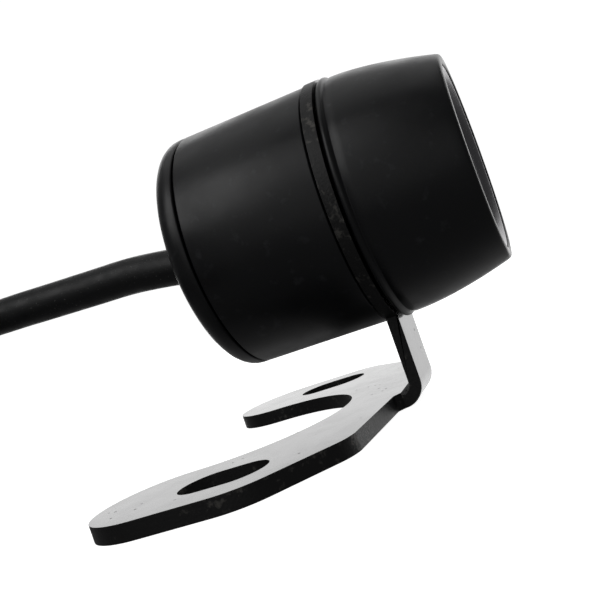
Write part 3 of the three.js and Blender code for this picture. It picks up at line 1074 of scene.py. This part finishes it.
@dataclass
class Bracket:
    """The stamped bracket: a clamp ring, a neck bent back through 90 degrees, and a winged base."""

    sheet: float = 1.15
    base_thickness: float = 1.5
    ring_radius: float = 11.95
    hole_radius: float = 9.5
    neck_width: float = 7.4
    bend_radius: float = 1.0
    gap_radius: float = 12.2
    gap_setback: float = 20.4
    shoulder: Point2 = (17.8, 3.9)
    shoulder_radius: float = 4.5
    wing_side: float = 25.2
    side_setback: float = 11.2
    side_radius: float = 6.0
    tip_setback: float = 26.6
    tip_radius: float = 6.4
    slot_x: float = 18.9
    slot_y: float = 14.7
    slot_length: float = 8.0
    slot_width: float = 5.6
    edge: float = 0.14

    def build(self) -> None:
        """Makes the bracket in one piece."""
        bracket = self.base()
        for side in (-1, 1):
            combined(bracket, self.slot(side * self.slot_x), "DIFFERENCE")
        combined(bracket, self.neck(), "UNION")
        combined(bracket, self.ring(), "UNION")
        edit(bracket)
        bpy.ops.mesh.select_all(action="SELECT")
        bpy.ops.mesh.remove_doubles(threshold=0.002 * MM)
        bpy.ops.mesh.dissolve_limited(angle_limit=math.radians(0.5))
        bracket = settle("stamped_bracket")
        self.dress(bracket)
        finish_surface(bracket, self.edge, 3)
        apply_modifier(bracket, "WEIGHTED_NORMAL", keep_sharp=True)
        declare(bracket, Body.BRACKET, "bracket_paint", "mounting_bracket")

    def dress(self, bracket: Piece) -> None:
        """Paints the faces, and gives the punched edges of the sheet their chipped finish.

        Args:
            bracket: The whole bracket.
        """
        BRACKET_PAINT.dress(bracket)
        bracket.data.materials.append(BRACKET_EDGE.material())
        axis = PIVOT / MM
        bend_end = axis.y + self.sheet + self.bend_radius
        for face in bracket.data.polygons:
            place, normal = face.center / MM, face.normal
            in_base = place.z < self.base_thickness + 0.05 and place.y > bend_end
            off_rim = abs((place.xz - axis.xz).length - self.ring_radius)
            on_rim = off_rim < 0.2 and abs(normal.y) < 0.5
            on_neck = abs(normal.x) > 0.9 and place.z < axis.z - self.ring_radius + 1
            punched = abs(normal.z) < 0.5 if in_base else on_rim or on_neck
            face.material_index = int(punched)

    def base(self) -> Piece:
        """The flat base with its two wings.

        Returns:
            The base alone.
        """
        bend_end = self.sheet + self.bend_radius
        neck = (self.neck_width / 2, bend_end)
        front = (self.neck_width / 2 + 0.7, bend_end + 0.6)
        side = (self.wing_side, self.side_setback)
        tip_outside = (self.wing_side, self.tip_setback)
        tip_inside = (self.gap_radius, self.tip_setback)
        gap_start = (self.gap_radius, self.gap_setback)
        right = [
            neck,
            *rounded(neck, front, self.shoulder, 0.5, 4),
            *rounded(front, self.shoulder, side, self.shoulder_radius, 12),
            *rounded(self.shoulder, side, tip_outside, self.side_radius, 12),
            *rounded(side, tip_outside, tip_inside, self.tip_radius, 16),
            *rounded(tip_outside, tip_inside, gap_start, self.tip_radius, 16),
            *arc((0, self.gap_setback), self.gap_radius, 0, -87, 40),
        ]
        left = [(-x, y) for x, y in reversed(right)]
        plan = [*right, (0.0, self.gap_setback - self.gap_radius), *left]
        outline = [(x, y + PIVOT.y / MM, 0) for x, y in plan]
        return solid_from("base", outline, (0, 0, self.base_thickness))

    def slot(self, x: float) -> Piece:
        """The cutter for one round-ended screw slot.

        Args:
            x: How far the slot is from the middle.

        Returns:
            The cutter.
        """
        radius = self.slot_width / 2
        run = self.slot_length / 2 - radius
        ends = [
            *arc((x, self.slot_y + run), radius, 0, 180, 16),
            *arc((x, self.slot_y - run), radius, 180, 360, 16),
        ]
        outline = [(px, py + PIVOT.y / MM, -1) for px, py in ends]
        return solid_from("slot", outline, (0, 0, self.base_thickness + 2))

    def neck(self) -> Piece:
        """The neck and its bend, drawn from the side.

        Returns:
            The neck alone.
        """
        outer = self.sheet + self.bend_radius
        top = PIVOT.z / MM - self.ring_radius + 1.5
        side = [
            (0.0, top),
            *arc((outer, outer), outer, 180, 270, 12),
            (outer + 2.5, 0.0), (outer + 2.5, self.sheet),
            *arc((outer, outer), self.bend_radius, 270, 180, 12),
            (self.sheet, top),
        ]
        half = self.neck_width / 2
        outline = [(-half, y + PIVOT.y / MM, z) for y, z in side]
        return solid_from("neck", outline, (self.neck_width, 0, 0))

    def ring(self) -> Piece:
        """The clamp ring that goes round the barrel's neck.

        Returns:
            The ring alone.
        """
        bpy.ops.object.select_all(action="DESELECT")
        bpy.ops.mesh.primitive_circle_add(
            vertices=128,
            radius=self.ring_radius * MM,
            fill_type="NGON",
            location=PIVOT,
            rotation=(math.pi / 2, 0, 0),
        )
        bpy.ops.object.mode_set(mode="EDIT")
        bpy.ops.mesh.select_all(action="SELECT")
        bpy.ops.mesh.inset(thickness=(self.ring_radius - self.hole_radius) * MM)
        bpy.ops.mesh.delete(type="FACE")
        bpy.ops.mesh.select_all(action="SELECT")
        extrude(Vector((0, self.sheet * MM, 0)))
        face_outwards()
        return settle("ring")


@dataclass
class Barrel:
    """The round camera body: bezel, window, optics, housing, cap and gland."""

    seam: float = 0.15
    front: float = 11.2
    bead_radius: float = 11.92
    barrel_radius: float = 11.72
    front_radius: float = 9.95
    taper_power: float = 1.6
    pocket_radius: float = 8.95
    pocket_floor: float = -8.3
    housing_radius: float = 11.78
    housing_front: float = 1.3
    housing_rear: float = 14.15
    neck_radius: float = 9.2
    cavity_radius: float = 10.6
    cap_rear: float = 16.6
    cap_edge: float = 1.8
    gland_end: float = 18.9

    def build(self) -> None:
        """Makes the pieces that show, and dresses the ones inside."""
        self.bezel()
        self.retainer()
        self.window()
        self.optics()
        self.housing()
        self.cap()
        self.gland()
        self.inside()

    def part(
        self,
        node: str,
        name: str,
        slot: str,
        finish: Finish,
        profile: Sequence[Point2],
        edge_mm: float = 0.08,
        segments: int = 96,
    ) -> Piece:
        """Turns one piece about the optical axis and dresses it.

        Args:
            node: The CAD node that it stands for.
            name: The piece's name.
            slot: The record's material slot.
            finish: Its finish.
            profile: [radius, distance behind the ring's front face] points.
            edge_mm: The rounding of its sharp edges.
            segments: How many facets make up the round.

        Returns:
            The piece.
        """
        piece = spun(name, profile, segments=segments, edge_mm=edge_mm)
        finish.dress(piece)
        return declare(piece, Body.BARREL, slot, node)

    def shell(self, node: str, name: str, profile: Sequence[Point2], edge_mm: float) -> None:
        """Makes one finely turned piece of the barrel's moulded shell."""
        self.part(node, name, "barrel_plastic", BARREL_ABS, profile, edge_mm, 144)

    def side(self) -> list[Point2]:
        """The bezel's side, from its bead to the front rim: a curve that steepens forwards.

        Returns:
            [radius, distance] points.
        """
        start, end, steps = -1.3, 0.4 - self.front, 16
        drop = self.barrel_radius - self.front_radius
        points = []
        for share in (i / steps for i in range(steps + 1)):
            radius = self.barrel_radius - drop * share**self.taper_power
            points.append((radius, start + (end - start) * share))
        return points

    def bezel(self) -> None:
        """The tapered front of the barrel, with the bead that grips the bracket's ring."""
        bead = arc((self.bead_radius - 0.33, -0.53), 0.33, 75, -75, 6)
        profile = [
            (self.bead_radius - 0.45, -self.seam),
            *bead,
            (self.barrel_radius - 0.14, -0.98),
            *self.side(),
            *arc((self.front_radius - 0.42, 0.38 - self.front), 0.38, -15, -90, 5),
            (self.pocket_radius + 0.12, -self.front), (self.pocket_radius, 0.12 - self.front),
            (self.pocket_radius, self.pocket_floor), (7.7, self.pocket_floor), (7.7, -7.8),
            (8.0, -7.5), (8.0, -5.0), (self.neck_radius + 0.25, -5.0),
            (self.neck_radius + 0.25, -self.seam),
        ]
        self.shell("front_bezel", "barrel_front", profile, 0.04)

    def retainer(self) -> None:
        """The threaded ring that holds the window in, with its chamfered inner edge."""
        profile = [(8.75, -11.05), (8.6, -11.05), (7.9, -10.4), (7.85, -10.25), (8.75, -10.25)]
        self.part(
            "lens_retaining_ring",
            "window_retainer",
            "anodised_aluminium",
            GREY_ANODISED,
            profile,
            edge_mm=0.05,
            segments=128,
        )

    def window(self) -> None:
        """The flat front glass and the O-ring behind it."""
        glass = [(0.0, -10.05), (8.7, -10.05), (8.7, -9.25), (0.0, -9.25)]
        self.part("cover_glass", "front_window", "window_glass", WINDOW_GLASS, glass, edge_mm=0.12)
        ring = arc((8.3, -8.75), 0.42, 0, 337.5, 15)
        self.part("window_seal", "window_o_ring", "seal_rubber", SEAL_RUBBER, ring, edge_mm=0)

    def optics(self) -> None:
        """The lens barrel with its front ring, and the domed front lens."""
        barrel = [
            (6.9, -8.3), (6.9, -6.4), (6.0, -6.4), (6.0, 1.4), (3.9, 1.4), (3.9, 0.0),
            (3.1, 0.0), (3.1, -5.2), (5.4, -5.2), (5.4, -8.0), (5.7, -8.3),
        ]
        self.part("lens_barrel", "lens_tube", "anodised_aluminium", ANODISED, barrel)
        back = [(5.1, -5.9), (2.9, -5.7), (2.0, -6.2), (0.0, -6.4)]
        dome = [*arc((0.0, -1.1), 7.9, -90, -50, 16), *back]
        self.part("front_lens_element", "front_lens", "lens_glass", LENS_GLASS, dome, edge_mm=0.04)

    def housing(self) -> None:
        """The straight rear body, whose neck passes through the bracket's ring."""
        radius, front, rear = self.housing_radius, self.housing_front, self.housing_rear
        profile = [
            (7.9, -4.0), (self.neck_radius, -4.0), (self.neck_radius, front),
            (radius - 0.12, front), (radius, front + 0.12), (radius, rear - 0.12),
            (radius - 0.12, rear), (self.cavity_radius, rear), (self.cavity_radius, 2.6),
            (7.9, 2.6),
        ]
        self.shell("rear_housing", "barrel_rear", profile, 0.04)

    def cap(self) -> None:
        """The back cover, with a soft outer edge and a shallow dish round the cable."""
        radius, rear, edge = self.housing_radius, self.cap_rear, self.cap_edge
        seam = self.housing_rear + self.seam
        profile = [
            (3.4, rear - 0.25), (4.6, rear - 0.25), (4.9, rear),
            *arc((radius - edge, rear - edge), edge, 90, 0, 8),
            (radius, seam + 0.1), (radius - 0.1, seam), (10.3, seam), (10.3, 12.8), (9.2, 12.8),
            (9.2, 14.75), (3.4, 14.75),
        ]
        self.shell("rear_cap", "back_cover", profile, 0.05)

    def gland(self) -> None:
        """The rubber gland, with a short ribbed taper outside."""
        profile = [(2.05, 14.2), (4.4, 14.2), (4.4, 14.6), (3.25, 14.6), (3.25, 16.7), (3.1, 16.9)]
        for i in range(2):
            start, radius = 17.1 + 0.75 * i, 3.0 - 0.16 * i
            profile += [(radius, start), (radius - 0.25, start + 0.08)]
            profile += [(radius - 0.25, start + 0.35), (radius - 0.06, start + 0.43)]
        profile += [(2.62, self.gland_end - 0.2), (2.4, self.gland_end), (2.05, self.gland_end)]
        self.part("cable_gland", "cable_boot", "seal_rubber", SEAL_RUBBER, profile, 0.05, 64)

    def inside(self) -> None:
        """Gives the pieces that stay as CAD nodes their finishes."""
        finishes = {
            ANODISED: ("lens_lock_ring",),
            HOLDER_NYLON: ("lens_holder", "board_header"),
            SEAL_RUBBER: ("neck_seal",),
            LENS_GLASS: ("middle_lens_element", "rear_lens_element", "ir_filter"),
            PACKAGE: ("image_sensor", "choke_coil"),
            BOARD: ("sensor_board", "power_board"),
            PLATED_BRASS: ("board_spacer_left", "board_spacer_right"),
            ZINC_STEEL: ("board_screw_left", "board_screw_right", "filter_capacitor"),
            SOCKET_NYLON: ("cable_socket",),
            JACKET_PVC: ("cable_end", *(f"lead_wire_{i}" for i in range(1, 5))),
        }
        for finish, nodes in finishes.items():
            for node in nodes:
                finish.dress(frame["nodes"][node])
                LOG.info("%s keeps its CAD shape", node)


def main() -> None:
    """Builds the camera view, the cord, the bracket and the barrel, in that order."""
    logging.basicConfig(level=logging.INFO, format="%(name)s: %(message)s")
    Eye().build()
    Lead().build()
    Bracket().build()
    Barrel().build()
    Studio().build()


if __name__ == "__main__":
    main()
